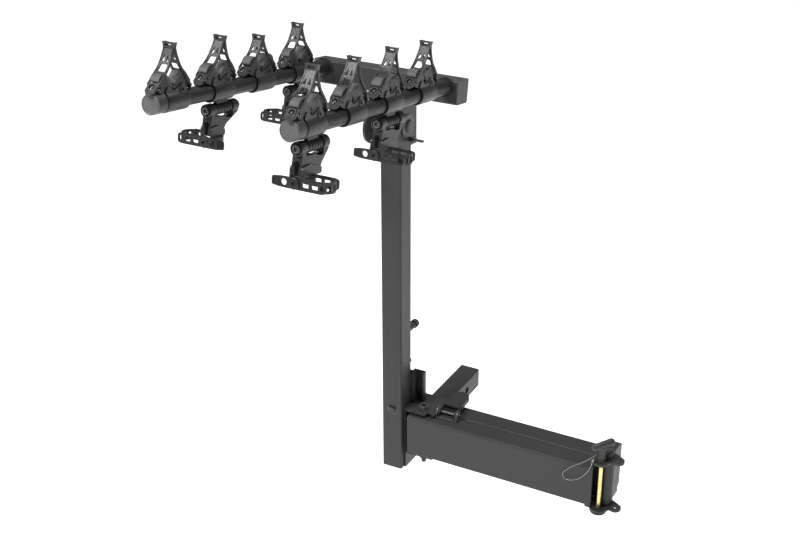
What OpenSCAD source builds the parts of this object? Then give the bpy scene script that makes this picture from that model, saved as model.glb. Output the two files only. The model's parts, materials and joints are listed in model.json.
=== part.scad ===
// Swing-away hitch rack for four bicycles, standing as it sits in the vehicle's receiver.
// Millimetres. Origin: centre of the hitch pin hole in the shank. +Y towards the vehicle, +Z up,
// +X along the two horizontal beams towards their pivot.

/* [Square tubing] */
// Outside width of the square tubes: shank, mast and crossbar
tube_w = 50.8; // [50:0.4:52]
// Wall thickness of the square tubes
tube_wall = 3; // [2.5:0.1:3.5]
// Outside corner radius of the square tubes
tube_r = 4.5; // [4:0.25:5]

/* [Beams] */
// Height of the two horizontal beams
beam_h = 101.6; // [100:0.4:102]
// Left end of the swing beam, next to the mast
swing_x0 = -13; // [-14:0.5:-11]
// Right end of the swing beam, next to the pivot
swing_x1 = 449; // [446:1:450]
// Right end of the fixed beam
fixed_x1 = 472; // [471:0.5:473]

/* [Hitch shank] */
// Distance from the hitch pin hole to the shank's open end
shank_nose = 69; // [55:1:85]
// Distance from the hitch pin hole to the fixed beam
shank_back = 146.2; // [146:0.1:147]
// Diameter of the hitch pin hole
pin_hole_d = 16.3; // [16.1:0.1:17]

/* [Swing pivot] */
// Pivot axis, X
pivot_x = 473; // [472:0.5:474]
// Pivot axis, Y
pivot_y = -213; // [-214:0.5:-212]
// Diameter of the pivot bolt
pivot_bolt_d = 15.9; // [15.5:0.1:16]
// Distance from the pivot to the lock pin
lock_r = 26.5; // [26:0.25:27]
// Diameter of the yellow lock pin
lock_d = 9.5; // [9:0.5:10]

/* [Mast] */
// Mast centre, X
mast_x = -52; // [-53:0.5:-52]
// Mast centre, Y
mast_y = -225.5; // [-226:0.5:-225]
// Lower end of the mast
mast_z0 = -101; // [-110:1:-90]
// Upper end of the mast
mast_z1 = 815; // [812:1:817]

/* [Arms] */
// How far the arms rise from level
arm_tilt = 9.1; // [8.9:0.1:9.3]
// Distance between the two arms
arm_gap = 286; // [280:1:292]
// Length of each arm, from the crossbar's face
arm_len = 590; // [585:1:600]
// Diameter of the arm tubes
arm_d = 31.8; // [31.6:0.1:32]
// Length of the crossbar
crossbar_len = 339; // [335:1:345]
// Distance between neighbouring cradles
cradle_pitch = 141; // [140:0.5:142]

/* [Cradles and straps] */
// Outside diameter of the cradle's sleeve on the arm
sleeve_d = 40; // [39:0.5:41]
// Width of a cradle's two prongs
prong_w = 20; // [18:0.5:20]
// Width of a strap
strap_w = 26; // [25:0.5:27]
// Height of a strap's tip above the arm's axis
strap_tip_h = 105; // [103:1:107]
// Depth of the swivel axis of an anti-sway cage below the arm's axis
cage_drop = 35; // [34.5:0.5:36]

/* [Hidden] */
$fn = 48;

steel = "#2b2b2d";
rubber = "#1c1c1e";
pad_grey = "#5c5c60";
zinc = "#d8c48c";

beam_front = -197;                          // joint plane between the two beams
beam_wall = 4;
bracket_gap = 4.4;                          // air between a beam and the mast bracket's flanges
plate_t = 5;
ear_t = 6;
ear_z1 = beam_h/2 + 15.2;                   // underside of the upper ear plate
ear_z0 = -beam_h/2 - 1;                     // top of the lower ear plate
lock_angle = 251.3;                         // where the lock pin stands, seen from the pivot
lock_x = pivot_x + lock_r*cos(lock_angle);
lock_y = pivot_y + lock_r*sin(lock_angle);
park_x = pivot_x + lock_r*cos(lock_angle + 90);
park_y = pivot_y + lock_r*sin(lock_angle + 90);
mast_right = mast_x + tube_w/2;
mast_left = mast_x - tube_w/2;
mast_front = mast_y - tube_w/2;
mast_back = mast_y + tube_w/2;
flange_z = beam_h/2 + bracket_gap;          // inner face of the upper flange
fold_y = -233;                              // arm fold axis
fold_z = 764;
root_y = -275.8;                            // where the arms' axes meet the crossbar's face
root_z = 881;
crossbar_sink = 10.3;                       // crossbar axis below the arms' axes
first_cradle = 541;                         // outermost cradle, from the crossbar's face
bracket_bolt_x = 14;
bracket_bolt_y = -212.5;
stub_z = 76;                                // lower end of the lock pin's black grip
lanyard_d = 2;
lanyard_angle = 219.7;                      // which way the wire leaves the grip
// Route of the wire lanyard, from the grip round its loop to the ferrule
lanyard_route = [
    [455, -246, 88], [447, -249, 81], [436, -252, 71], [420, -254, 59], [404, -254, 47],
    [391, -254, 34], [383, -254, 23], [384, -254, 13], [393, -254, 8], [406, -254, 11],
    [420, -254, 19], [432, -254, 32], [441, -255, 46], [447, -257, 60], [450, -257, 73], [452, -254, 84]
];

function arm_x(side) = mast_x + (side == "left" ? -arm_gap/2 : arm_gap/2);
function cradle_s(i) = first_cradle - cradle_pitch*(i - 1);
function outward(side) = side == "left" ? -1 : 1;

// ---------- shared shapes ----------
module rounded_square(w, h, r) {
    square([w - 2*r, h], center = true);
    square([w, h - 2*r], center = true);
    for (sx = [-1, 1]) for (sy = [-1, 1])
        translate([sx*(w/2 - r), sy*(h/2 - r)]) circle(r);
}

module tube_profile(w, h, wall, r) {
    difference() {
        rounded_square(w, h, r);
        rounded_square(w - 2*wall, h - 2*wall, r - wall/2);
    }
}

// Stands a Z extrusion along +X or +Y
module along_x() rotate([90, 0, 90]) children();
module along_y() rotate([-90, 0, 0]) children();

module hex_nut(across, h, bore) {
    difference() {
        cylinder(d = across/cos(30), h = h, $fn = 6);
        translate([0, 0, -1]) cylinder(d = bore, h = h + 2);
    }
}

// Frame of an arm: X across, -Y outward along the arm, Z square to it; s is measured from the crossbar
module in_arm(x, s) {
    translate([x, root_y, root_z]) rotate([-arm_tilt, 0, 0]) translate([0, -s, 0]) children();
}

// ---------- fixed side ----------
module hitch_shank() color(steel) difference() {
    translate([0, -shank_back, 0]) along_y()
        linear_extrude(shank_nose + shank_back) tube_profile(tube_w, tube_w, 6.35, tube_r);
    translate([-tube_w, 0, 0]) along_x() cylinder(d = pin_hole_d, h = 2*tube_w);
}

module fixed_beam() color(steel) {
    translate([-tube_w/2, beam_front + tube_w/2, 0]) along_x()
        linear_extrude(fixed_x1 + tube_w/2) tube_profile(tube_w, beam_h, beam_wall, tube_r);
}

module fixed_beam_cap() color(rubber) {
    translate([-tube_w/2 + 0.2, beam_front + tube_w/2, 0]) along_x()
        linear_extrude(14) rounded_square(tube_w - 2*beam_wall - 0.4, beam_h - 2*beam_wall - 0.4, 2.2);
}

// Outline of an ear plate: pivot, lock hole and parking hole
module ear_outline() {
    hull() {
        translate([lock_x, lock_y]) circle(20, $fn = 64);
        translate([pivot_x, pivot_y]) circle(19, $fn = 64);
    }
    hull() {
        translate([park_x, park_y]) circle(13.5, $fn = 64);
        translate([pivot_x, pivot_y + 2]) circle(17, $fn = 64);
    }
    translate([fixed_x1 - 14, pivot_y]) square([21, 60]);
}

module ear_plate(z) {
    difference() {
        translate([0, 0, z]) linear_extrude(ear_t) ear_outline();
        translate([pivot_x, pivot_y, z - 1]) cylinder(d = pivot_bolt_d + 0.1, h = ear_t + 2);
        translate([lock_x, lock_y, z - 1]) cylinder(d = lock_d + 0.1, h = ear_t + 2);
        translate([park_x, park_y, z - 1]) cylinder(d = lock_d + 0.6, h = ear_t + 2);
    }
}

// Two ear plates joined by the end web that closes the fixed beam
module pivot_bracket() color(steel) {
    ear_plate(ear_z1);
    ear_plate(ear_z0 - ear_t);
    translate([fixed_x1 - 30, beam_front - 6, ear_z0 - ear_t]) cube([20, 44, ear_t]);
    translate([lock_x, lock_y, ear_z0 - ear_t - 5]) difference() {
        cylinder(r = 18, h = 5);
        translate([0, 0, -1]) cylinder(d = lock_d + 0.1, h = 7);
        translate([pivot_x - lock_x, pivot_y - lock_y, -1]) cylinder(r = 14, h = 7);
    }
    translate([fixed_x1, 0, 0]) along_x() linear_extrude(7) polygon([
        [beam_front + 2, ear_z0], [beam_front + 38, ear_z0], [beam_front + 52, ear_z0 + 14],
        [beam_front + 52, ear_z1], [beam_front + 2, ear_z1]
    ]);
}

module pivot_bolt() color(steel) {
    translate([pivot_x, pivot_y, ear_z0 - ear_t - 2]) cylinder(d = pivot_bolt_d, h = ear_z1 - ear_z0 + 2*ear_t + 14);
    translate([pivot_x, pivot_y, ear_z0 - ear_t - 9.5]) cylinder(d = 26, h = 9.5, $fn = 6);
}

module pivot_nut() color(steel) translate([pivot_x, pivot_y, ear_z1 + ear_t]) {
    difference() {
        cylinder(d = 28, h = 2.2);
        translate([0, 0, -1]) cylinder(d = pivot_bolt_d, h = 5);
    }
    translate([0, 0, 2.2]) hex_nut(24, 9, pivot_bolt_d);
}

module latch_keeper() color(steel) {
    translate([62, -192, beam_h/2]) cube([26, 9, 8.6]);
    translate([58, -194, beam_h/2]) cube([34, 20, 2.5]);
}

// ---------- swinging side ----------
// Space that the lock pin and its hole sweep as the beam swings from 0 to 90 degrees
module lock_sweep(z0, h) {
    clear_r = lock_d/2 + 0.7;
    translate([pivot_x, pivot_y, z0]) rotate([0, 0, lock_angle - 90])
        rotate_extrude(angle = 90, $fn = 96) translate([lock_r - clear_r, 0]) square([2*clear_r, h]);
    for (a = [lock_angle, lock_angle - 90])
        translate([pivot_x + lock_r*cos(a), pivot_y + lock_r*sin(a), z0]) cylinder(r = clear_r, h = h);
}

module swing_beam() color(steel) difference() {
    translate([swing_x0, beam_front - tube_w/2, 0]) along_x()
        linear_extrude(swing_x1 - swing_x0) tube_profile(tube_w, beam_h, beam_wall, tube_r);
    lock_sweep(-beam_h, 2*beam_h);
    translate([bracket_bolt_x, bracket_bolt_y, -beam_h]) cylinder(d = 12.2, h = 2*beam_h);
}

module swing_beam_cap() color(rubber) {
    translate([swing_x0 + 0.2, beam_front - tube_w/2, 0]) along_x()
        linear_extrude(12) rounded_square(tube_w - 2*beam_wall - 0.4, beam_h - 2*beam_wall - 0.4, 2.2);
}

// Pivot tube, tied to the end of the swing beam's rear wall
module pivot_knuckle() color(steel) difference() {
    union() {
        translate([pivot_x, pivot_y, ear_z0 + 1]) cylinder(d = 30, h = ear_z1 - ear_z0 - 2);
        translate([swing_x1, beam_front - 2, -beam_h/2 + 6]) cube([pivot_x - swing_x1, 1.8, beam_h - 12]);
    }
    translate([pivot_x, pivot_y, -beam_h]) cylinder(d = 20, h = 2*beam_h);
    lock_sweep(-beam_h, 2*beam_h);
}

module pivot_bushes() color("#8a8470") for (z = [ear_z0 + 0.5, ear_z1 - 24.5]) difference() {
    translate([pivot_x, pivot_y, z]) cylinder(d = 20, h = 24);
    translate([pivot_x, pivot_y, z - 1]) cylinder(d = pivot_bolt_d + 0.1, h = 26);
}

// C-shaped bracket that carries the mast on the swing beam
module mast_bracket() color(steel) difference() {
    union() {
        translate([mast_right, -237, -flange_z - plate_t]) cube([plate_t, 37, 2*(flange_z + plate_t)]);
        translate([mast_right, -237, mast_z0]) cube([plate_t, 52, 44]);
        for (z = [flange_z, -flange_z - plate_t]) translate([mast_right, -237, z]) cube([75, 89, plate_t]);
        for (sz = [-1, 1]) translate([bracket_bolt_x, bracket_bolt_y, sz*(beam_h + bracket_gap)/2 - bracket_gap/2])
            cylinder(d = 24, h = bracket_gap);
    }
    translate([bracket_bolt_x, bracket_bolt_y, -beam_h]) cylinder(d = 12.1, h = 2*beam_h);
    translate([mast_right + 55, -237.1, flange_z - 1]) rotate([0, 0, -20]) cube([60, 12, plate_t + 2]);
}

module bracket_bolt() color(steel) translate([bracket_bolt_x, bracket_bolt_y, 0]) {
    difference() {
        translate([0, 0, -flange_z - plate_t - 26]) cylinder(d = 12, h = 2*(flange_z + plate_t) + 32);
        translate([0, 0, flange_z + plate_t + 9]) cylinder(d = 5, h = 10, $fn = 6);
    }
    translate([0, 0, flange_z + plate_t]) hex_nut(19, 9, 12);
    translate([0, 0, flange_z + plate_t]) cylinder(d = 26, h = 2.2);
    translate([0, 0, -flange_z - plate_t - 14]) hex_nut(19, 14, 12);
}

// Channel behind the mast, with its open side to the mast's right
module mast_gusset() color(steel) translate([mast_right + 1, 0, flange_z + plate_t]) {
    translate([0, -179, 0]) cube([25, 4, 78]);
    translate([21, -187, 0]) cube([4, 10, 78]);
    along_x() linear_extrude(4) difference() {
        polygon([[-200, 0], [-178, 0], [-178, 78], [-184, 84], [-193, 84], [-200, 76]]);
        translate([-176, 30]) circle(17);
    }
}

module mast() color(steel) difference() {
    translate([mast_x, mast_y, mast_z0]) linear_extrude(mast_z1 - mast_z0)
        tube_profile(tube_w, tube_w, tube_wall, tube_r);
    translate([mast_left - 1, fold_y, fold_z]) along_x() cylinder(d = 12.1, h = tube_w + 2);
    translate([mast_x + 2.5, mast_front - 1, flange_z + 5]) along_y() cylinder(d = 10.1, h = tube_w + 2);
}

module mast_caps() color(rubber) for (z = [mast_z0 + 0.5, mast_z1 - 10]) translate([mast_x, mast_y, z]) {
    linear_extrude(z > 0 ? 10 : 9.5) rounded_square(tube_w - 2*tube_wall - 0.4, tube_w - 2*tube_wall - 0.4, 2.6);
    if (z > 0) translate([0, 0, 10]) linear_extrude(2.5) rounded_square(tube_w - 1, tube_w - 1, 4);
}

// Round-headed bolt low on the mast's front, and the small one higher on its back
module carriage_bolts() color(steel) {
    translate([mast_x + 2.5, mast_front - 4.5, flange_z + 5]) along_y() {
        cylinder(d1 = 14, d2 = 28, h = 4.5);
        cylinder(d = 10, h = tube_w + 14);
        translate([0, 0, tube_w + 4.5]) hex_nut(16, 7, 10);
    }
    translate([mast_x + 17, mast_back, 170]) along_y() {
        hex_nut(13, 5, 6);
        cylinder(d = 6, h = 10);
    }
}

module mast_bumper() color(rubber) translate([mast_x + 14, mast_back, 250]) along_y() {
    cylinder(d = 15, h = 34);
    translate([0, 0, 32]) cylinder(d = 20, h = 11);
    translate([0, 0, 43]) cylinder(d1 = 20, d2 = 11, h = 5);
}

module latch_ears() color(steel) {
    for (x = [49, 99.5]) difference() {
        translate([x, 0, 0]) along_x() linear_extrude(4) difference() {
            union() {
                translate([-222, beam_h/2]) square([24, 14]);
                translate([-210, beam_h/2 + 14]) circle(9.5);
            }
            translate([-210, beam_h/2 + 14]) circle(3.05);
        }
    }
    translate([49, -224, beam_h/2]) cube([54.5, 26, 3]);
    translate([46, -210, beam_h/2 + 14]) along_x() cylinder(d = 6, h = 60.5);
}

module latch_handle() color(steel) translate([0, -210, beam_h/2 + 14]) {
    difference() {
        union() {
            translate([54, 16, 6]) cube([44, 52, 4]);
            translate([54, 5, -1]) cube([44, 24, 3]);
            for (x = [54, 94]) translate([x, 0, 0]) along_x() linear_extrude(4) {
                circle(8.5);
                polygon([[-8, 0], [-8, 7], [68, 7], [68, 1], [40, -1], [4, -8]]);
            }
            translate([76, 66, 6]) cylinder(r = 20, h = 4);
            translate([64, 27, -2.6]) cube([24, 4, 10]);
        }
        translate([40, 0, 0]) along_x() cylinder(d = 6.1, h = 80);
    }
    translate([76, 72, 2.5]) cylinder(r = 13, h = 6);
}

// ---------- lock pin, its grip and its wire ----------
module lock_pin() color(zinc) translate([lock_x, lock_y, 0]) {
    translate([0, 0, ear_z0 - ear_t - 4]) cylinder(d = lock_d, h = stub_z + 8 - ear_z0 + ear_t + 4);
    translate([0, 0, ear_z0 - ear_t - 9]) cylinder(d1 = lock_d - 5, d2 = lock_d, h = 5);
    translate([0, 0, ear_z1 + ear_t + 0.3]) difference() {
        cylinder(d = 15, h = 3);
        translate([0, 0, -1]) cylinder(d = lock_d - 1, h = 5);
    }
}

module lock_pin_grip() color(rubber) translate([lock_x, lock_y, 0]) difference() {
    union() {
        translate([0, 0, stub_z]) cylinder(d = 19, h = 30);
        translate([0, 0, 88]) rotate([0, 90, lanyard_angle]) cylinder(d = 5, h = 11.2);
        translate([0, 0, 111]) rotate([0, 0, 58]) {
            translate([-20, 0, 0]) along_x() cylinder(d = 17, h = 42);
            translate([22, 0, 0]) sphere(d = 18.5);
            translate([-20, 0, 0]) sphere(d = 17);
        }
    }
    translate([0, 0, stub_z - 1]) cylinder(d = lock_d, h = 9);
}

function unit(v) = v/norm(v);
function route_dir(p, i) = unit(p[min(i + 1, len(p) - 1)] - p[max(i - 1, 0)]);
function ring(p, i, r, n) = let (t = route_dir(p, i), a = unit(cross(t, [0, 1, 0])), b = cross(t, a))
    [for (k = [0:n - 1]) p[i] + r*(a*cos(360*k/n) + b*sin(360*k/n))];

// A tube of n sides swept along the points p
module swept_tube(p, r, n) {
    m = len(p);
    polyhedron(
        points = [for (i = [0:m - 1]) each ring(p, i, r, n)],
        faces = concat(
            [[for (k = [0:n - 1]) k]],
            [[for (k = [0:n - 1]) (m - 1)*n + n - 1 - k]],
            [for (i = [0:m - 2]) for (k = [0:n - 1])
                [i*n + k, (i + 1)*n + k, (i + 1)*n + (k + 1)%n, i*n + (k + 1)%n]]
        )
    );
}

// Catmull-Rom curve through the route's points
function smooth(p, q) = [for (i = [0:len(p) - 2]) for (j = [0:q - 1])
    let (t = j/q, a = p[max(i - 1, 0)], b = p[i], c = p[i + 1], d = p[min(i + 2, len(p) - 1)])
    0.5*(2*b + (c - a)*t + (2*a - 5*b + 4*c - d)*t*t + (3*b - a - 3*c + d)*t*t*t)];

module lanyard() color("silver") swept_tube(concat(smooth(lanyard_route, 3), [lanyard_route[15]]), lanyard_d/2, 8);

module lanyard_ferrule() color("silver") translate([450.4, -256.6, 74]) rotate([-10, 8, 0]) difference() {
    cylinder(d = 5.4, h = 7);
    translate([0, 0, -1]) cylinder(d = 3.6, h = 9);
}

// ---------- folding frame ----------
// The two side plates that straddle the mast's top and carry the crossbar
module fold_bracket() color(steel) for (x = [mast_left - 6, mast_right + 1]) translate([x, 0, 0])
    along_x() linear_extrude(5) difference() {
        union() {
            translate([-276, 769]) circle(38, $fn = 96);
            polygon([[-276, 731], [-226, 714], [-196, 714], [-189, 724], [-189, 800], [-214, 834.5], [-286, 846]]);
        }
        translate([fold_y, fold_z]) circle(6.05);
        translate([-221, 730]) circle(5.1);
    }

module fold_bolt() color(steel) translate([0, fold_y, fold_z]) {
    translate([mast_left - 20, 0, 0]) along_x() cylinder(d = 12, h = tube_w + 34);
    translate([mast_left - 14, 0, 0]) along_x() hex_nut(19, 8, 12);
    translate([mast_right + 6, 0, 0]) along_x() cylinder(d = 50, h = 3.5);
    translate([mast_right + 9.5, 0, 0]) along_x() cylinder(d1 = 30, d2 = 22, h = 4);
}

module fold_pull_pin() color(steel) translate([0, -221, 730]) {
    translate([mast_right + 1.2, 0, 0]) along_x() cylinder(d = 10, h = 14);
    translate([mast_right + 15, 0, 0]) along_x() cylinder(d = 14, h = 5);
    translate([mast_right + 19, -4, -1.5]) cube([20, 9, 3]);
}

module crossbar() color(steel) in_arm(mast_x, 0) {
    translate([-crossbar_len/2, tube_w/2, -crossbar_sink]) along_x()
        linear_extrude(crossbar_len) tube_profile(tube_w, tube_w, tube_wall, tube_r);
}

module crossbar_caps() color(rubber) in_arm(mast_x, 0) for (sx = [-1, 1])
    translate([sx*(crossbar_len/2 - 6) - 6, tube_w/2, -crossbar_sink]) along_x() {
        linear_extrude(12) rounded_square(tube_w - 2*tube_wall - 0.4, tube_w - 2*tube_wall - 0.4, 2.6);
    }

module arm(side) color(steel) in_arm(arm_x(side), arm_len) {
    along_y() linear_extrude(arm_len) difference() {
        circle(d = arm_d);
        circle(d = arm_d - 5);
    }
    translate([0, arm_len - 6, 0]) along_y() linear_extrude(6) difference() {
        circle(d = arm_d + 8);
        circle(d = arm_d);
    }
}

module arm_caps() color(pad_grey) for (side = ["left", "right"]) in_arm(arm_x(side), arm_len) {
    translate([0, -4.4, 0]) along_y() cylinder(d = 38, h = 4.4);
    along_y() linear_extrude(25) difference() {
        circle(d = 38);
        circle(d = arm_d);
    }
}

// ---------- cradles ----------
has_cage = [["left", 2], ["left", 4], ["right", 1], ["right", 3]];
function carries_cage(side, i) = len([for (c = has_cage) if (c[0] == side && c[1] == i) 1]) > 0;

// Sleeve on the arm, with an inner and an outer prong whose faces make the V
module cradle(side, i) color(rubber) in_arm(arm_x(side), cradle_s(i)) difference() {
    union() {
        translate([0, -22, 0]) along_y() cylinder(d = sleeve_d, h = 64);
        translate([-prong_w/2, 0, 0]) along_x() linear_extrude(prong_w) polygon([
            [0, 21.5], [22, 46], [27, 49.5], [34, 49], [39, 43], [38, 34], [36, 28], [40, 21], [42, 16], [20, 14],
            [-20, 14], [-23, 20.5], [-40, 20.5], [-36, 28], [-38, 34], [-39, 43], [-34, 49], [-27, 49.5], [-22, 46]
        ]);
        if (carries_cage(side, i)) {
            translate([-4, 0, -cage_drop]) cube([8, 40, 18]);
            translate([0, -7.5, -cage_drop]) along_y() cylinder(d = 21, h = 54);
        }
    }
    translate([0, -80, 0]) along_y() cylinder(d = arm_d + 0.1, h = 200);
    if (carries_cage(side, i)) translate([0, -80, -cage_drop]) along_y() cylinder(d = 8.1, h = 200);
}

// Rubber pads on both faces of every V
module cradle_pads() color(pad_grey) for (side = ["left", "right"]) for (i = [1:4])
    in_arm(arm_x(side), cradle_s(i)) for (m = [0, 1]) mirror([0, m, 0]) translate([-prong_w/2, 0, 0]) along_x()
        linear_extrude(prong_w) polygon([[6, 28.4], [22, 46.2], [25.5, 48.7], [22, 51], [19, 49.5], [2.5, 32], [2.8, 29.5]]);

module cage_bolts() color(steel) for (c = has_cage) in_arm(arm_x(c[0]), cradle_s(c[1]))
    translate([0, -31, -cage_drop]) along_y() {
        cylinder(d = 8, h = 104);
        difference() {
            cylinder(d = 14, h = 4);
            translate([0, 0, -1]) cylinder(d = 7, h = 3.5, $fn = 6);
        }
        translate([0, 0, 99]) hex_nut(13, 6, 8);
    }

// ---------- straps ----------
strap_foot = [62, 19.5];                     // rolled edge at the end of each leg
strap_t = 4;
// A leg's outer face from the tip down: along the arm from the V's middle, and height above the arm's axis
leg_curve = [[3, 98], [10.5, 78], [19.5, 61], [34, 46], [46, 33], [61, 19]];

// Where each strap's tip stands: how far it leans towards the vehicle, and how much it sags
function strap_lean(side, i) = side == "right" || i == 2 ? 12 : 0;
function strap_sag(side, i) = side == "left" && i == 3 ? 13 : 2*((i + 1)%2);
function leg_path(m, lean, sag) = [for (q = leg_curve)
    let (up = (q[1] - 19)/80) [m*q[0] + lean*up, q[1] - sag*up]];
function inward(p, i, d) = let (t = route_dir(p, i)) p[i] + d*[t[1], -t[0]];

// One leg and its rolled edge; m is 1 for the leg on the vehicle's side and -1 for the other
module strap_leg(m, lean, sag) {
    p = leg_path(m, lean, sag);
    n = len(p) - 1;
    translate([-strap_w/2, 0, 0]) along_x() linear_extrude(strap_w)
        polygon(concat(p, [for (i = [0:n]) inward(p, n - i, m*strap_t)]));
    translate([-strap_w/2, m*strap_foot[0], strap_foot[1]]) along_x() cylinder(d = 5, h = strap_w);
}

module strap(side, i) color(rubber) in_arm(arm_x(side), cradle_s(i)) difference() {
    sag = strap_sag(side, i);
    tip = strap_tip_h - sag;
    lean = strap_lean(side, i);
    union() {
        strap_leg(1, lean, sag);
        strap_leg(-1, lean, sag);
        translate([-strap_w/2, lean - 7, tip - 9]) cube([strap_w, 14, 9]);
    }
    translate([-prong_w/2 - 1, -80, 32]) cube([prong_w + 2, 160, 21]);
    translate([-8, -80, 57]) cube([16, 160, 11]);
    for (x = [-8, 2]) translate([x, -80, 73]) cube([6, 160, 8]);
    translate([-8, -80, tip - 6.5]) cube([16, 160, 3.5]);
}

// ---------- anti-sway cages ----------
// Fork on the swivel axis, narrowing into a neck that reaches down to the band
module cage_neck(side, i) color(rubber) in_arm(arm_x(side), cradle_s(i)) translate([0, 0, -cage_drop]) {
    difference() {
        union() {
            translate([0, -27, 0]) along_y() cylinder(d = 25, h = 19);
            translate([0, 47, 0]) along_y() cylinder(d = 25, h = 19);
            translate([-11, 0, 0]) along_x() linear_extrude(22) polygon([
                [-27, 0], [-8.5, 0], [-8.5, -13], [47.5, -13], [47.5, 0], [66, 0],
                [66, -8], [52, -30], [52, -48], [-24, -48], [-24, -30], [-27, -12]
            ]);
        }
        translate([0, -40, 0]) along_y() cylinder(d = 8.1, h = 120);
        translate([0, -40, -18]) along_y() cylinder(d = 5, h = 26);
        translate([-1.5, -40, -32]) cube([3, 26, 15]);
    }
}

// Loop that goes round a bicycle's seat tube, with its tail and button
module cage_band(side, i) color(rubber) in_arm(arm_x(side), cradle_s(i)) scale([outward(side), 1, 1])
    translate([22, -4, -cage_drop - 59]) {
        difference() {
            translate([0, 0, -10.5]) linear_extrude(21) difference() {
                rounded_square(88, 47, 16);
                rounded_square(80, 39, 12);
            }
            for (x = [-6, 14, 32]) translate([x, -30, -5]) cube([13, 60, 10]);
        }
        translate([-22, -20.4, 0]) rotate([90, 0, 0]) cylinder(d = 20, h = 7);
        translate([-40, 0, -8]) translate([-26, -22, 0]) difference() {
            cube([26, 4, 16]);
            translate([19, -1, 8]) along_y() cylinder(d = 9, h = 6);
        }
    }

hitch_shank();
fixed_beam();
fixed_beam_cap();
pivot_bracket();
pivot_bolt();
pivot_nut();
latch_keeper();
swing_beam();
swing_beam_cap();
pivot_knuckle();
pivot_bushes();
mast_bracket();
bracket_bolt();
mast_gusset();
mast();
mast_caps();
carriage_bolts();
mast_bumper();
latch_ears();
latch_handle();
lock_pin();
lock_pin_grip();
lanyard();
lanyard_ferrule();
fold_bracket();
fold_bolt();
fold_pull_pin();
crossbar();
crossbar_caps();
arm("left");  // arm_left
arm("right");  // arm_right
arm_caps();
cradle_pads();
cage_bolts();
for (side = ["left", "right"]) for (i = [1:4]) {
    cradle(side, i);
    strap(side, i);
}
for (c = has_cage) {
    cage_neck(c[0], c[1]);
    cage_band(c[0], c[1]);
}
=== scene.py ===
"""Looks of the hitch mounted bike rack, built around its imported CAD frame. Metres, row frame."""
import json
import math

import bmesh
import bpy
from mathutils import Euler, Matrix, Vector
from mathutils.geometry import tessellate_polygon


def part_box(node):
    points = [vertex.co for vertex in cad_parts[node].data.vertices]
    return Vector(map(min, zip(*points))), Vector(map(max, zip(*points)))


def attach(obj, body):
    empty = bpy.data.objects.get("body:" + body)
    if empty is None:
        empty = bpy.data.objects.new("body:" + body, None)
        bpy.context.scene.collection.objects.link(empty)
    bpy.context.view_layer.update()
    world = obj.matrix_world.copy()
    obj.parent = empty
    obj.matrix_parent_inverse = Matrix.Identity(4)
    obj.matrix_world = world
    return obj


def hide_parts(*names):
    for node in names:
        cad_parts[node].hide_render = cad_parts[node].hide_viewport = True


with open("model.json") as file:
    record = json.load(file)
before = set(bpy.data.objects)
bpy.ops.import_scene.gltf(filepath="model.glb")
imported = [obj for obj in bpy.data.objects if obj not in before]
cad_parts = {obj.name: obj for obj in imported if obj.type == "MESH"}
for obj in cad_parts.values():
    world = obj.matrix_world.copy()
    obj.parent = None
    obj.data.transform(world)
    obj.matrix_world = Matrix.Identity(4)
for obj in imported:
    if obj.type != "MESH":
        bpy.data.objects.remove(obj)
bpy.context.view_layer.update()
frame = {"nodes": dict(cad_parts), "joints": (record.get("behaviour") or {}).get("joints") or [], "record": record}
JOINTS = {j["name"]: j for j in frame["joints"]}
MM = 0.001

# ---------- camera, floor and light ----------
CAMERA_AT = (1.2495, -2.6359, 1.7477)
CAMERA_AZIMUTH = 28.19
CAMERA_ELEVATION = 25.83
CAMERA_ROLL = -0.14
CAMERA_LENS = 60.87
FLOOR_Z = -0.45


def make_camera():
    data = bpy.data.cameras.new("camera")
    data.lens = CAMERA_LENS
    data.sensor_width = 36
    data.clip_end = 100
    cam = bpy.data.objects.new("camera", data)
    bpy.context.scene.collection.objects.link(cam)
    cam.location = CAMERA_AT
    turn = Euler((math.radians(90 - CAMERA_ELEVATION), 0, math.radians(CAMERA_AZIMUTH)))
    cam.rotation_euler = (turn.to_matrix() @ Matrix.Rotation(math.radians(CAMERA_ROLL), 3, "Z")).to_euler()
    bpy.context.scene.camera = cam


def area_light(name, at, aim, size, power, size_y=None):
    data = bpy.data.lights.new(name, "AREA")
    data.energy = power
    data.size = size
    if size_y:
        data.shape = "RECTANGLE"
        data.size_y = size_y
    lamp = bpy.data.objects.new(name, data)
    bpy.context.scene.collection.objects.link(lamp)
    lamp.location = at
    lamp.rotation_euler = (Vector(aim) - Vector(at)).to_track_quat("-Z", "Y").to_euler()


def make_studio():
    world = bpy.data.worlds.new("studio")
    world.use_nodes = True
    sky = world.node_tree.nodes["Background"]
    sky.inputs["Color"].default_value = (1, 1, 1, 1)
    sky.inputs["Strength"].default_value = 0.17
    bpy.context.scene.world = world
    bpy.context.scene.view_settings.view_transform = "Standard"
    area_light("key", (-0.9, -1.9, 2.6), (0.1, -0.25, 0.1), 0.7, 70)
    area_light("side", (3.0, -1.6, 1.5), (0.1, -0.4, 0.4), 1.0, 9, 2.2)
    area_light("top", (0.4, 0.6, 3.2), (0, -0.4, 0.4), 1.2, 55)
    mesh = bpy.data.meshes.new("floor")
    half = 12
    corners = [(-half, -half, 0), (half, -half, 0), (half, half, 0), (-half, half, 0)]
    mesh.from_pydata(corners, [], [(0, 1, 2, 3)])
    floor = bpy.data.objects.new("floor", mesh)
    floor.location = (0, 4, FLOOR_Z)
    bpy.context.scene.collection.objects.link(floor)
    paint = bpy.data.materials.new("floor_paint")
    paint.use_nodes = True
    shader = paint.node_tree.nodes["Principled BSDF"]
    shader.inputs["Base Color"].default_value = (0.93, 0.93, 0.93, 1)
    shader.inputs["Roughness"].default_value = 0.9
    shader.inputs["Emission Color"].default_value = (1, 1, 1, 1)
    shader.inputs["Emission Strength"].default_value = 0.9
    mesh.materials.append(paint)


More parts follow.
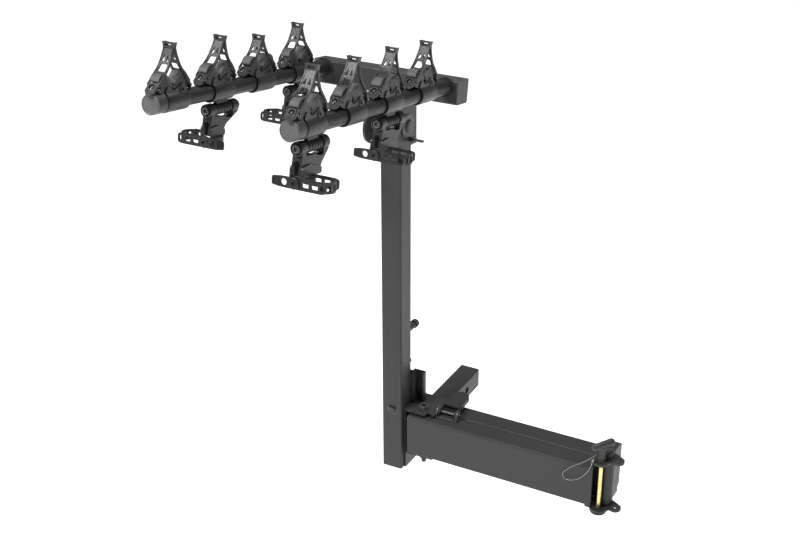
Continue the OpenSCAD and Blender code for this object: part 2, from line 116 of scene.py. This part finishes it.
make_camera()
make_studio()


# ---------- materials ----------
def surface(name, dark, light, rough, rough_spread, patch, grain, bump, metallic=0.0, wear=None, spec=0.5):
    """A Principled surface: patchy colour from dark to light, grainy bump, uneven gloss, paler edges."""
    mat = bpy.data.materials.new(name)
    mat.use_nodes = True
    tree = mat.node_tree
    shader = tree.nodes["Principled BSDF"]
    shader.inputs["Metallic"].default_value = metallic
    shader.inputs["Specular IOR Level"].default_value = spec
    place = tree.nodes.new("ShaderNodeTexCoord")

    def noise(scale, detail, rough_detail=0.5):
        node = tree.nodes.new("ShaderNodeTexNoise")
        node.inputs["Scale"].default_value = scale
        node.inputs["Detail"].default_value = detail
        node.inputs["Roughness"].default_value = rough_detail
        tree.links.new(place.outputs["Object"], node.inputs["Vector"])
        return node

    patches = noise(patch, 4)
    ramp = tree.nodes.new("ShaderNodeValToRGB")
    ramp.color_ramp.elements[0].position = 0.35
    ramp.color_ramp.elements[1].position = 0.68
    ramp.color_ramp.elements[0].color = (*dark, 1)
    ramp.color_ramp.elements[1].color = (*light, 1)
    tree.links.new(patches.outputs["Fac"], ramp.inputs["Fac"])
    colour = ramp.outputs["Color"]
    if wear:
        geometry = tree.nodes.new("ShaderNodeNewGeometry")
        edge = tree.nodes.new("ShaderNodeMapRange")
        edge.inputs["From Min"].default_value = 0.53
        edge.inputs["From Max"].default_value = 0.62
        edge.inputs["To Max"].default_value = wear[1]
        tree.links.new(geometry.outputs["Pointiness"], edge.inputs["Value"])
        mix = tree.nodes.new("ShaderNodeMix")
        mix.data_type = "RGBA"
        mix.inputs["B"].default_value = (*wear[0], 1)
        tree.links.new(edge.outputs["Result"], mix.inputs["Factor"])
        tree.links.new(colour, mix.inputs["A"])
        colour = mix.outputs["Result"]
    tree.links.new(colour, shader.inputs["Base Color"])
    gloss = tree.nodes.new("ShaderNodeMapRange")
    gloss.inputs["To Min"].default_value = rough - rough_spread
    gloss.inputs["To Max"].default_value = rough + rough_spread
    tree.links.new(noise(patch*5, 3).outputs["Fac"], gloss.inputs["Value"])
    tree.links.new(gloss.outputs["Result"], shader.inputs["Roughness"])
    relief = tree.nodes.new("ShaderNodeBump")
    relief.inputs["Strength"].default_value = bump
    relief.inputs["Distance"].default_value = 0.0004
    tree.links.new(noise(grain, 2, 0.6).outputs["Fac"], relief.inputs["Height"])
    tree.links.new(relief.outputs["Normal"], shader.inputs["Normal"])
    return mat


POWDER = surface("powder_coat", (0.013, 0.013, 0.0135), (0.019, 0.019, 0.0195), 0.42, 0.06, 9, 900, 0.45,
                 wear=((0.09, 0.09, 0.09), 0.35), spec=0.24)
HARDWARE = surface("black_hardware", (0.014, 0.014, 0.015), (0.030, 0.030, 0.031), 0.34, 0.08, 60, 1400, 0.2,
                   metallic=0.3, wear=((0.2, 0.2, 0.2), 0.5))
ZINC = surface("yellow_zinc", (0.62, 0.47, 0.16), (0.80, 0.68, 0.36), 0.28, 0.07, 90, 1500, 0.15,
               metallic=0.85)
WIRE = surface("bright_wire", (0.20, 0.20, 0.20), (0.36, 0.36, 0.36), 0.34, 0.08, 400, 2500, 0.6,
               metallic=0.9)
BUSH = surface("nylon_bush", (0.16, 0.16, 0.15), (0.22, 0.22, 0.21), 0.5, 0.05, 40, 800, 0.2)
CAP = surface("cap_plastic", (0.030, 0.030, 0.032), (0.045, 0.045, 0.047), 0.48, 0.06, 25, 1300, 0.35)
NYLON = surface("cradle_nylon", (0.013, 0.013, 0.014), (0.024, 0.024, 0.025), 0.40, 0.07, 30, 1500, 0.35,
                wear=((0.08, 0.08, 0.08), 0.3))
PAD = surface("pad_rubber", (0.050, 0.050, 0.052), (0.075, 0.075, 0.078), 0.62, 0.06, 40, 1000, 0.45)
BOLT = surface("bolt_steel", (0.10, 0.10, 0.10), (0.17, 0.17, 0.17), 0.36, 0.06, 80, 1500, 0.2, metallic=0.6)
# Near-black, barely reflective sheet material: painted shade inside slots and recesses, standing in for the shadow
# there
SHADOW = surface("slot_painted_shade", (0.002, 0.002, 0.002), (0.004, 0.004, 0.004), 0.8, 0.05, 30, 900, 0.1,
                 spec=0.1)
PLUG = surface("end_plug", (0.085, 0.085, 0.087), (0.115, 0.115, 0.118), 0.5, 0.06, 60, 1100, 0.3)
STRAP = surface("strap_rubber", (0.010, 0.010, 0.011), (0.020, 0.020, 0.021), 0.46, 0.08, 45, 1200, 0.45,
                wear=((0.06, 0.06, 0.06), 0.4))
BY_SLOT = {
    "black_powder_coat": POWDER, "black_hardware": HARDWARE, "zinc": ZINC, "steel_wire": WIRE, "bush": BUSH,
    "cap_plastic": CAP, "cradle_plastic": NYLON, "pad_rubber": PAD, "strap_rubber": STRAP,
}
NODE_SLOT = {s["node"]: s["material_slot"] for s in frame["record"]["subparts"]}
for node_name, node_object in frame["nodes"].items():
    node_object.data.materials.clear()
    node_object.data.materials.append(BY_SLOT[NODE_SLOT[node_name]])
    node_object.data.shade_smooth()
    node_object.data.set_sharp_from_angle(angle=math.radians(32))


# ---------- mesh building ----------
AXES = {"x": (1, 2, 0), "y": (0, 2, 1), "z": (0, 1, 2)}   # outline's two axes, then the way it is extruded


class Form:
    """Closed shells gathered in millimetres, in a piece's own frame."""

    def __init__(self):
        self.bm = bmesh.new()

    def _place(self, points, turn):
        return [self.bm.verts.new(turn @ Vector(p) if turn else Vector(p)) for p in points]

    def prism(self, outline, low, high, axis="x", holes=(), turn=None):
        """A flat outline with holes, extruded along an axis."""
        a, b, c = AXES[axis]
        loops = [list(outline)] + [list(h) for h in holes]
        flat = [p for loop in loops for p in loop]

        def spread(level):
            points = []
            for p in flat:
                q = [0, 0, 0]
                q[a], q[b], q[c] = p[0], p[1], level
                points.append(q)
            return self._place(points, turn)

        bottom, top = spread(low), spread(high)
        for tri in tessellate_polygon([[Vector((p[0], p[1], 0)) for p in loop] for loop in loops]):
            self.bm.faces.new([bottom[k] for k in tri])
            self.bm.faces.new([top[k] for k in reversed(tri)])
        start = 0
        for loop in loops:
            n = len(loop)
            for k in range(n):
                j = (k + 1) % n
                self.bm.faces.new((bottom[start + k], bottom[start + j], top[start + j], top[start + k]))
            start += n
        return self

    def lathe(self, profile, at=(0, 0, 0), axis="y", sides=40, turn=None):
        """A profile of (radius, distance along the axis) turned round an axis."""
        a, b, c = AXES[axis]
        rings = []
        for radius, along in profile:
            points = []
            count = 1 if radius < 1e-6 else sides
            for k in range(count):
                angle = 2*math.pi*k/sides
                q = list(at)
                q[a] += radius*math.cos(angle)
                q[b] += radius*math.sin(angle)
                q[c] += along
                points.append(q)
            rings.append(self._place(points, turn))
        for low, high in zip(rings, rings[1:]):
            for k in range(sides):
                j = (k + 1) % sides
                ring = [low[k % len(low)], low[j % len(low)], high[j % len(high)], high[k % len(high)]]
                corners = list(dict.fromkeys(ring))
                if len(corners) > 2:
                    self.bm.faces.new(corners)
        for ring, keep in ((rings[0], False), (rings[-1], True)):
            if len(ring) > 1:
                self.bm.faces.new(ring if keep else list(reversed(ring)))
        return self

    def tube(self, profile_out, profile_in, at=(0, 0, 0), axis="y", sides=40, turn=None):
        """A hollow turned shape: the outer profile, then the inner one back again, closed on itself."""
        a, b, c = AXES[axis]
        rings = []
        for radius, along in list(profile_out) + list(reversed(profile_in)):
            points = []
            for k in range(sides):
                angle = 2*math.pi*k/sides
                q = list(at)
                q[a] += radius*math.cos(angle)
                q[b] += radius*math.sin(angle)
                q[c] += along
                points.append(q)
            rings.append(self._place(points, turn))
        for low, high in zip(rings, rings[1:] + rings[:1]):
            for k in range(sides):
                j = (k + 1) % sides
                self.bm.faces.new((low[k], low[j], high[j], high[k]))
        return self

    def box(self, low, high, turn=None):
        outline = [(low[0], low[1]), (high[0], low[1]), (high[0], high[1]), (low[0], high[1])]
        return self.prism(outline, low[2], high[2], "z", turn=turn)

    def piece(self, name, body, material, place=None, bevel=0.0, steps=2, replaces=()):
        """Makes the object, in metres in the row frame, riding on its body."""
        self.bm.transform(Matrix.Scale(MM, 4))
        if place:
            self.bm.transform(place)
        bmesh.ops.recalc_face_normals(self.bm, faces=self.bm.faces)
        mesh = bpy.data.meshes.new(name)
        self.bm.to_mesh(mesh)
        self.bm.free()
        obj = bpy.data.objects.new(name, mesh)
        bpy.context.scene.collection.objects.link(obj)
        mesh.materials.append(material)
        if bevel:
            round_edges = obj.modifiers.new("bevel", "BEVEL")
            round_edges.width = bevel*MM
            round_edges.segments = steps
            round_edges.limit_method = "ANGLE"
            round_edges.angle_limit = math.radians(34)
        mesh.shade_smooth()
        mesh.set_sharp_from_angle(angle=math.radians(60 if bevel else 32))
        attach(obj, body)
        if replaces:
            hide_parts(*replaces)
        return obj


def arc(centre, radius, start, end, steps=8):
    """Points on an arc, angles in degrees."""
    points = []
    for k in range(steps + 1):
        angle = math.radians(start + (end - start)*k/steps)
        points.append((centre[0] + radius*math.cos(angle), centre[1] + radius*math.sin(angle)))
    return points


def fillet(points, radius, steps=4):
    """A closed outline with its corners rounded."""
    result = []
    n = len(points)
    for k in range(n):
        before, here, after = (Vector(points[(k + d) % n]) for d in (-1, 0, 1))
        back, ahead = before - here, after - here
        reach = min(radius, back.length*0.45, ahead.length*0.45)
        first, last = here + back.normalized()*reach, here + ahead.normalized()*reach
        for j in range(steps + 1):
            t = j/steps
            q = first*(1 - t)**2 + here*2*t*(1 - t) + last*t*t
            result.append((q.x, q.y))
    return result


def rectangle(u0, v0, u1, v1):
    return [(u0, v0), (u1, v0), (u1, v1), (u0, v1)]


# ---------- where the cradles are ----------
SIDES = ("left", "right")
CAGES = (("left", 2), ("left", 4), ("right", 1), ("right", 3))
TILT = math.atan2(JOINTS["cage_swivel_left_2"]["axis"][2], -JOINTS["cage_swivel_left_2"]["axis"][1])
FOOT = (62, 19.5)              # a strap's hinge in its cradle's frame: along the arm, above its axis
DROP = 35                      # cage axis below the arm's axis


def cradle_place(side, i):
    """The cradle's frame: x across the arm, y along it towards the vehicle, z square to it."""
    turn = Matrix.Rotation(-TILT, 4, "X")
    hinge = Vector(JOINTS[f"strap_open_{side}_{i}"]["pos_m"])
    return Matrix.Translation(hinge) @ turn @ Matrix.Translation((0, -FOOT[0]*MM, -FOOT[1]*MM))


# ---------- the wire lanyard ----------
# Route of the wire, from the grip round its loop to the ferrule, in millimetres
LANYARD_ROUTE = [
    (455, -246, 88), (447, -249, 81), (436, -252, 71), (420, -254, 59), (404, -254, 47),
    (391, -254, 34), (383, -254, 23), (384, -254, 13), (393, -254, 8), (406, -254, 11),
    (420, -254, 19), (432, -254, 32), (441, -255, 46), (447, -257, 60), (450, -257, 73), (452, -254, 84),
]
LANYARD_D = 0.0017


def smooth_route(points, steps):
    """A Catmull-Rom curve through the points."""
    route = [Vector(p) for p in points]
    out = []
    for i in range(len(route) - 1):
        a, b, c = route[max(i - 1, 0)], route[i], route[i + 1]
        d = route[min(i + 2, len(route) - 1)]
        for j in range(steps):
            t = j/steps
            out.append(0.5*(2*b + (c - a)*t + (2*a - 5*b + 4*c - d)*t*t + (3*b - a - 3*c + d)*t**3))
    return out + [route[-1]]


def make_lanyard():
    points = [p*MM for p in smooth_route(LANYARD_ROUTE, 6)]
    curve = bpy.data.curves.new("lanyard_wire", "CURVE")
    curve.dimensions = "3D"
    curve.bevel_depth = LANYARD_D/2
    curve.bevel_resolution = 3
    curve.use_fill_caps = True
    spline = curve.splines.new("POLY")
    spline.points.add(len(points) - 1)
    for target, p in zip(spline.points, points):
        target.co = (*p, 1)
    wire = bpy.data.objects.new("lanyard_wire", curve)
    bpy.context.scene.collection.objects.link(wire)
    curve.materials.append(WIRE)
    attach(wire, "lock_pin")
    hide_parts("lanyard")


make_lanyard()


# ---------- cradles, pads and straps ----------
def mirrored(outline):
    return [(-y, z) for y, z in reversed(outline)]


def make_cradle(side, i):
    form = Form()
    form.tube([(18.6, -22), (20, -20.6), (20, 40.6), (18.6, 42)],
              [(18.4, -22), (18.4, -15), (16.2, -15), (16.2, 36), (18.2, 36), (18.2, 42)])
    prong = [(2, 14), (20, 13), (41, 15.5), (38, 22), (34.5, 29), (36, 37), (36, 43), (31, 46), (25, 46.5),
             (20, 43), (1, 22)]
    form.prism(fillet(prong, 3), -9.5, 9.5)
    form.prism(fillet(mirrored([(y, max(z, 20.4)) if y > 22 else (y, z) for y, z in prong]), 3), -9.5, 9.5)
    for x in (-12, 9):                                     # cheeks that saddle the sleeve
        cheek = [(-24, 21), (-20, 8), (24, 2), (38, 8), (40, 19), (26, 33), (17, 26), (0, 19), (-14, 30)]
        form.prism(fillet(cheek, 5), x, x + 3)
    boss = [(6.5, 9), (6.5, 13), (5.4, 14), (3.4, 14), (3.0, 10.5), (0, 10.5)]
    form.lathe(boss, at=(0, 24, 20), axis="x", sides=28)
    form.lathe([(r*0.8, -x) for r, x in boss], at=(0, -15, 18), axis="x", sides=28)
    if (side, i) in CAGES:
        form.prism(fillet([(1, -14), (4, -DROP + 6), (34, -DROP + 6), (39, -14)], 3), -4, 4)
        form.lathe([(8.8, -7.4), (10.3, -6), (10.3, 45), (8.8, 46.4)], at=(0, 0, -DROP), sides=32)
        for k in range(5):
            form.lathe([(10.3, 0), (11.4, 0.6), (11.4, 2.4), (10.3, 3)], at=(0, 1 + 9*k, -DROP), sides=32)
    name = f"cradle_body_{side}_{i}"
    form.piece(name, "arm_frame", NYLON, cradle_place(side, i), 1.2, 2,
               [f"cradle_{side}_{i}"])


def make_pads(side, i):
    """The grey rubber caps on both prongs of a cradle."""
    form = Form()
    cap = [(7.5, 26.8), (4, 29), (2.4, 32.5), (17.5, 49.5), (22, 52.6), (32, 52.6), (40, 46.5), (42.6, 40),
           (40, 37), (36.6, 38), (35, 43), (31, 45.2), (26, 45.2), (22, 42.5)]
    form.prism(fillet(cap, 3.5), -9.2, 9.2)
    form.prism(fillet(mirrored(cap), 3.5), -9.2, 9.2)
    replaced = ["cradle_pads"] if (side, i) == ("left", 1) else []
    form.piece(f"pads_{side}_{i}", "arm_frame", PAD, cradle_place(side, i), 3.4, 4, replaced)


# A strap leg's outer face: along the arm from the V's middle, and height above the arm's axis, tip first
LEG_CURVE = [(3, 98), (10.5, 78), (19.5, 61), (34, 46), (46, 33), (61, 19)]
STRAP_TIP = 105
STRAP_T = 3.6
LEG_WIDTHS = [(0, 10.5), (14, 10.6), (36, 11.8), (60, 13), (77, 13), (79.5, 13), (80, 11), (92, 10.6)]


def strap_pose(side, i):
    """How far a strap's tip leans towards the vehicle, and how much it sags."""
    lean = 12 if side == "right" or i == 2 else 0
    sag = 13 if (side, i) == ("left", 3) else 2*((i + 1) % 2)
    return lean, sag


LEG_LENGTH = 99.5              # of a flat leg outline, from the tip to the foot
BEND_STEP = 2.4                # a flat outline is cut across this often, so that it can bend
BENDS = 41


class LegCurve:
    """Maps distance down a leg, and depth below its outer face, to the cradle's frame."""

    def __init__(self, m, lean, sag):
        self.points = []
        for y, z in LEG_CURVE:
            up = (z - 19)/80
            self.points.append(Vector((m*y + lean*up, z - sag*up)))
        self.points = [q.xy for q in smooth_route([(*q, 0) for q in self.points], 6)]
        self.along = [0]
        for a, b in zip(self.points, self.points[1:]):
            self.along.append(self.along[-1] + (b - a).length)
        self.m = m

    def at(self, u, depth):
        share = min(max(u/LEG_LENGTH, 0), 1)*self.along[-1]
        k = 0
        while k < len(self.along) - 2 and self.along[k + 1] < share:
            k += 1
        a, b = self.points[k], self.points[k + 1]
        here = a.lerp(b, (share - self.along[k])/(self.along[k + 1] - self.along[k]))
        way = (self.points[min(k + 2, len(self.points) - 1)] - self.points[max(k - 1, 0)]).normalized()
        return here + self.m*depth*Vector((way.y, -way.x))


def bent_plate(form, curve, outline, low, high, holes=()):
    """A flat outline of (distance down the leg, across) laid on the leg's curve."""
    flat = Form()
    flat.prism([(u, v) for u, v in outline], low, high, "z", holes)
    for step in range(1, BENDS + 1):
        geometry = flat.bm.verts[:] + flat.bm.edges[:] + flat.bm.faces[:]
        cut = (step*BEND_STEP, 0, 0)
        bmesh.ops.bisect_plane(flat.bm, geom=geometry, dist=1e-5, plane_co=cut, plane_no=(1, 0, 0))
    copies = {}
    for vert in flat.bm.verts:
        y, z = curve.at(vert.co.x, vert.co.z)
        copies[vert] = form.bm.verts.new((vert.co.y, y, z))
    for face in flat.bm.faces:
        form.bm.faces.new([copies[v] for v in face.verts])
    flat.bm.free()


def half_width(u):
    for (u0, w0), (u1, w1) in zip(LEG_WIDTHS, LEG_WIDTHS[1:]):
        if u0 <= u <= u1:
            return w0 + (w1 - w0)*(u - u0)/(u1 - u0)
    return LEG_WIDTHS[-1][1]


def leg_holes():
    slits = [fillet([(15, 3.4*m), (27, 1.6*m), (28, 8*m), (25, 8.2*m)], 1.2) for m in (-1, 1)]
    square = fillet([(32.5, -7.2), (32.5, 7.2), (48, 8.6), (48, -8.6)], 3)
    window = fillet([(52.5, -10.2), (52.5, 10.2), (73, 11), (73, -11)], 4)
    button = arc((82, 0), 5.6, 0, 345, 16)
    return slits + [square, window, button]


def make_strap(side, i):
    form = Form()
    lean, sag = strap_pose(side, i)
    for m in (1, -1):
        curve = LegCurve(m, lean, sag)
        side_line = [(u, w) for u, w in LEG_WIDTHS] + arc((93, 0), 7.5, 70, 0, 5)
        outline = side_line + [(u, -w) for u, w in reversed(side_line[:-1])]
        bent_plate(form, curve, outline, 0, STRAP_T, leg_holes())
        for edge in (-1, 1):                               # raised rails along both edges
            rail_u = [2, 14, 25, 36, 48, 60, 70, 78]
            rail = [(u, edge*half_width(u)) for u in rail_u]
            rail += [(u, edge*(half_width(u) - 1.7)) for u in reversed(rail_u)]
            bent_plate(form, curve, rail, -1.1, 1)
        for u in (29.7, 49.6):                             # thicker bars above and below the square
            bent_plate(form, curve, rectangle(u, -10, u + 1.6, 10), -0.8, 1)
        y, z = curve.at(82, 2)
        turn = Matrix.Translation((0, y, z)) @ Matrix.Rotation(-m*math.radians(50), 4, "X")
        form.lathe([(3.4, -2.6), (3.4, 1.6), (2.6, 2.6), (0, 2.6)], axis="z", sides=24, turn=turn)
        form.tube([(8.2, -2), (8.2, 2.6), (7.6, 3.2)], [(5.6, -2), (5.6, 2.6), (6.2, 3.2)],
                  axis="z", sides=28, turn=turn)
    top = [(-10.6, -10), (-11.4, -4), (-12.9, 0), (-6, -0.9), (6, -0.9), (12.9, 0), (11.4, -4), (10.6, -10)]
    slot = fillet(rectangle(-7, -6.8, 7, -3.2), 1.6)
    tip = Matrix.Translation((0, lean, STRAP_TIP - sag))
    form.prism(top, -5.5, 5.5, "y", [slot], tip)
    name = f"strap_band_{side}_{i}"
    form.piece(name, f"strap_{side}_{i}", STRAP, cradle_place(side, i), 0.6, 1,
               [f"strap_{side}_{i}"])


ARM_END = -49                  # the outer end of an arm, along it from its first cradle


def make_arm_ends():
    """Pale round plugs in the arms' outer ends, with a turned-over rim."""
    for side in SIDES:
        form = Form()
        out = ARM_END
        form.lathe([(0, out - 3.6), (15.5, out - 3.6), (16.4, out - 4.4), (18.2, out - 4.4), (19, out - 3.4),
                    (19, out), (0, out)], sides=48)
        replaced = ["arm_caps"] if side == "left" else []
        place = cradle_place(side, 1)
        form.piece(f"arm_plug_{side}", "arm_frame", PLUG, place, replaces=replaced)
        form = Form()
        form.tube([(19, out + 0.2), (19, out + 24), (18.2, out + 25)],
                  [(16, out + 0.2), (16, out + 24), (17, out + 25)], sides=48)
        form.piece(f"arm_collar_{side}", "arm_frame", CAP, place)


for side in SIDES:
    for i in (1, 2, 3, 4):
        make_cradle(side, i)
        make_pads(side, i)
        make_strap(side, i)
make_arm_ends()


# ---------- anti-sway cages ----------
def make_cage_neck(side, i):
    form = Form()
    for start, end in ((-27, -8), (47, 66)):
        form.tube([(11.2, start), (12.5, start + 1.1), (12.5, end - 1.5), (11.5, end)],
                  [(10.4, start), (9.4, start + 5), (4.2, start + 5), (4.2, end)], at=(0, 0, -DROP))
    reach = 40 if side == "right" else 20                  # how far back the neck still is at the band
    body = [(-21, -3), (-9, -3), (-9, -13.5), (20, -14), (34, -19), (47.5, -19), (48, -3), (64, -3),
            (65, -10), (reach + 6, -30), (reach, -38), (reach, -48), (-24, -48), (-23, -30), (-21, -12)]
    form.prism(fillet([(y, z - DROP) for y, z in body], 4), -10, 10, "x")
    for sign in (-1, 1):                                   # flared cheeks towards the band
        cheek = [(-24, -31), (0, -28), (reach, -38), (reach, -50), (-24, -50)]
        low, high = sorted((9*sign, 13*sign))
        form.prism(fillet([(y, z - DROP) for y, z in cheek], 5), low, high, "x")
    place = cradle_place(side, i)
    form.piece(f"cage_body_{side}_{i}", f"cage_{side}_{i}", NYLON, place, 1.2, 3,
               [f"cage_neck_{side}_{i}"])
    form = Form()                                          # slot for the band's strap, with a near-black sheet painted in as the shade inside it
    slot = [(-2.6, -44), (2.6, -44), (2.6, -31)] + arc((0, -26), 4.6, -50, 230, 10) + [(-2.6, -31)]
    form.prism([(x, z - DROP) for x, z in slot], -25.4, -22, "y")
    form.piece(f"cage_slot_{side}_{i}", f"cage_{side}_{i}", SHADOW, place)


def make_cage_bolt(side, i):
    """The swivel bolt: socket head in the front boss, shaft and nut."""
    form = Form()
    hexagon = [(5.2*math.cos(math.radians(60*k)), 5.2*math.sin(math.radians(60*k)) - DROP) for k in range(6)]
    form.prism(arc((0, -DROP), 7.6, 0, 350, 35), -28.6, -25, "y", [hexagon])
    form.lathe([(7.6, -25), (7.6, -22.4), (4, -22.4), (4, 73)], at=(0, 0, -DROP), sides=32)
    form.prism(arc((0, -DROP), 7.4, 0, 300, 5), 68, 74, "y")
    replaced = ["cage_bolts"] if (side, i) == ("left", 2) else []
    form.piece(f"cage_bolt_{side}_{i}", "arm_frame", BOLT, cradle_place(side, i), 0.7, 2,
               replaced)


def make_cage_band(side, i):
    form = Form()
    sign = 1 if side == "right" else -1
    mirror = Matrix.Scale(sign, 4, (1, 0, 0))
    seat = mirror @ Matrix.Translation((22, -4, -DROP - 59))
    half = 10.5
    for y in (-22.5, 19.5):                                # the two long sides, with their windows
        windows = [fillet(rectangle(x, -5, x + 13, 5), 2.5) for x in (-7, 11)]
        windows.append(fillet(rectangle(29, -4.5, 37, 4.5), 2.5))
        side_plate = fillet([(-30, -half), (32, -half), (40, -8), (40, 8), (32, half), (-30, half)], 4)
        form.prism(side_plate, y - 1, y + 3, "y", windows, seat)
    for z0, z1 in ((-10, -5.5), (5.5, 10)):                # round end, open in the middle
        outer = arc((28, 0), 23.5, -75, 75, 14)
        inner = arc((28, 0), 19.5, 75, -75, 14)
        form.prism([(x - 8, y) for x, y in outer + inner], z0, z1, "z", turn=seat)
    for angle in (-58, -20, 20, 58):
        x, y = 20 + 21.5*math.cos(math.radians(angle)), 21.5*math.sin(math.radians(angle))
        form.box((x - 2.2, y - 2.2, -7), (x + 2.2, y + 2.2, 7), seat)
    left = arc((-20, 0), 23.5, 110, 250, 12) + arc((-20, 0), 19.5, 250, 110, 12)
    form.prism(left, -9.5, 9.5, "z", turn=seat)
    button = seat @ Matrix.Translation((-22, -23.5, 0)) @ Matrix.Rotation(math.radians(90), 4, "X")
    form.lathe([(10.5, 0), (10.5, 2.6), (9, 4), (3.4, 4), (3.0, 1.5), (0, 1.5)], axis="z", sides=32,
               turn=button)
    tail = fillet([(-66, -7.5), (-50, -9.5), (-26, -10), (-26, 10), (-50, 9.5), (-66, 7.5)], 3)
    form.prism(tail, -26, -22.5, "y", [arc((-42, 0), 6, 0, 345, 16)], seat)
    for k in range(4):
        form.box((-64 + 3.6*k, -27, -7), (-62.4 + 3.6*k, -25.5, 7), seat)
    place = cradle_place(side, i)
    form.piece(f"cage_loop_{side}_{i}", f"cage_{side}_{i}", STRAP, place, 0.9, 2,
               [f"cage_band_{side}_{i}"])


for cage_side, cage_i in CAGES:
    make_cage_neck(cage_side, cage_i)
    make_cage_bolt(cage_side, cage_i)
    make_cage_band(cage_side, cage_i)


# ---------- plates that close two gaps, with no CAD node behind them ----------
def make_fillers():
    form = Form()                                          # behind the mast, beside the gusset
    form.box((-42, -199.9, 56.5), (-18, -196, 132))
    form.box((-48, -180, 56.5), (-24, -176.5, 133))
    form.piece("gusset_web", "swing_frame", POWDER, bevel=0.4, steps=1)
    form = Form()                                          # beside the lower ear, under the beam's end
    toe = [(432, -243), (450, -243), (462, -222), (462, -203), (432, -203)]
    form.prism(fillet(toe, 6), -57.5, -52, "z")
    form.piece("ear_toe", "hitch_side", POWDER, bevel=0.6, steps=2)


make_fillers()


# ---------- lock pin grip ----------
def make_grip():
    _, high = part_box("lock_pin_grip")
    pin_low, pin_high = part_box("lock_pin")
    centre = (pin_low + pin_high)/2
    top = high.z/MM - 9
    place = Matrix.Translation((centre.x, centre.y, 0))
    form = Form()
    stub = [(6.2, 76), (8.4, 76), (9.4, 78), (9.0, 84), (8.2, 92), (8.6, 100), (9, 108)]
    form.lathe(stub, axis="z", sides=32)
    turn = Matrix.Translation((0, 0, top)) @ Matrix.Rotation(math.radians(58), 4, "Z")
    form.lathe([(0, -28), (4.5, -27.2), (7.4, -24), (8.3, -18), (8.1, -8), (8.5, 0), (8.3, 10), (8.8, 20),
                (8.9, 25), (7.2, 29.3), (4, 31), (0, 31.2)], axis="x", sides=32, turn=turn)
    form.piece("t_grip", "lock_pin", CAP, place, 0.5, 2, ["lock_pin_grip"])


make_grip()
